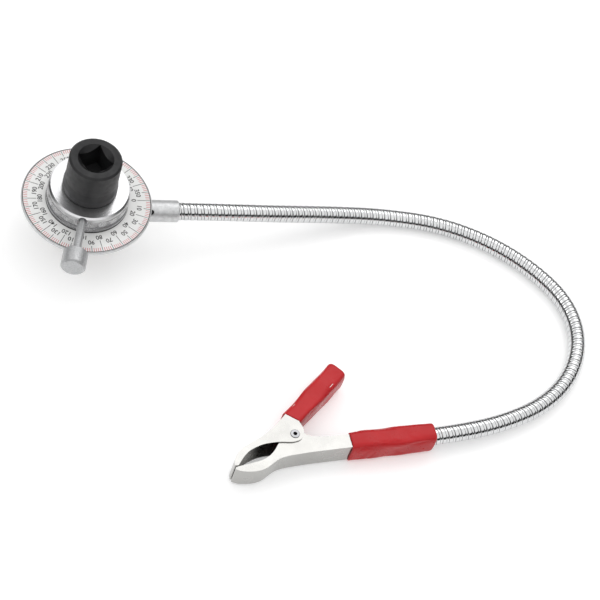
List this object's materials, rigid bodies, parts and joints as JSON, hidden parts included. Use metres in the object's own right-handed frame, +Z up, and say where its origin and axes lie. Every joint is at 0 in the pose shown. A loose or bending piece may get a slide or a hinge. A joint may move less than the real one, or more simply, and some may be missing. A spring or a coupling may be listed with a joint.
{
  "type": "torque angle gauge",
  "caption": "Torque angle gauge: graduated dial on a square-drive spindle, pointer ring with lock knob, and a flexible metal arm ending in a sleeved spring clamp.",
  "frame": {"origin": "centre of the male square's end face, on the drive axis", "axes": "+Z up the drive axis towards the female square, +X along the arm as it leaves the dial, which is the dial's 0 mark"},
  "size_m": [0.4461, 0.2702, 0.0976],
  "materials": {
    "black_oxide": "black oxide, satin",
    "ball_steel": "polished",
    "spring_steel": "bright drawn wire",
    "screw_steel": "zinc plated",
    "turned_steel": "fine turned, bright nickel",
    "brass": "machined",
    "body_aluminium": "satin turned",
    "dial_white": "printed, semi-matt",
    "knob_aluminium": "satin turned",
    "gooseneck_chrome": "bright chrome",
    "clamp_nickel": "nickel plated pressed sheet",
    "sleeve_red": "soft glossy vinyl"
  },
  "bodies": {
    "dial_body": {"bearing_body": "body_aluminium", "lower_bush": "brass", "upper_bush": "brass", "dial_plate": "body_aluminium", "dial_face": "dial_white", "dial_collar": "turned_steel", "body_screws": "screw_steel", "arm_ferrule": "knob_aluminium", "ferrule_set_screw": "black_oxide", "ferrule_stud": "screw_steel", "gooseneck_hose": "gooseneck_chrome", "gooseneck_core": "spring_steel", "handle_adapter": "screw_steel", "adapter_pin": "screw_steel", "clamp_lower_jaw": "clamp_nickel", "lower_handle_sleeve": "sleeve_red", "clamp_rivet": "screw_steel", "clamp_spring": "spring_steel"},
    "spindle": {"drive_spindle": "black_oxide", "retaining_ring": "spring_steel", "thrust_washer": "brass", "friction_washer": "spring_steel", "detent_spring": "spring_steel"},
    "ball": {"detent_ball": "ball_steel"},
    "pointer": {"pointer_ring": "turned_steel", "clamp_pad": "brass"},
    "lock_screw": {"pointer_rod": "turned_steel", "pointer_knob": "knob_aluminium"},
    "upper_jaw": {"clamp_upper_jaw": "clamp_nickel", "upper_handle_sleeve": "sleeve_red"}
  },
  "joints": [
    {"name": "spindle_turn", "type": "hinge", "parent": "dial_body", "child": "spindle", "pos_m": [0, 0, 0.036], "axis": [0, 0, 1], "continuous": true},
    {"name": "ball_press", "type": "slide", "parent": "spindle", "child": "ball", "axis": [0.454, -0.891, 0], "range_m": [-0.00095, 0], "stiffness_N_per_m": 3000, "springref_m": 0.001, "deforming": ["detent_spring"]},
    {"name": "pointer_turn", "type": "hinge", "parent": "spindle", "child": "pointer", "pos_m": [0, 0, 0.0582], "axis": [0, 0, 1], "continuous": true},
    {"name": "lock_screw_turn", "type": "hinge", "parent": "pointer", "child": "lock_screw", "pos_m": [0, 0, 0.0584], "axis": [-0.2419, -0.9703, 0], "range_deg": [0, 360]},
    {"name": "jaw_open", "type": "hinge", "parent": "dial_body", "child": "upper_jaw", "pos_m": [0.14141, -0.19031, 0.0112], "axis": [0, 0, -1], "range_deg": [0, 24], "stiffness_Nm_per_rad": 1.5, "springref_deg": -20.05, "deforming": ["clamp_spring"]}
  ]
}
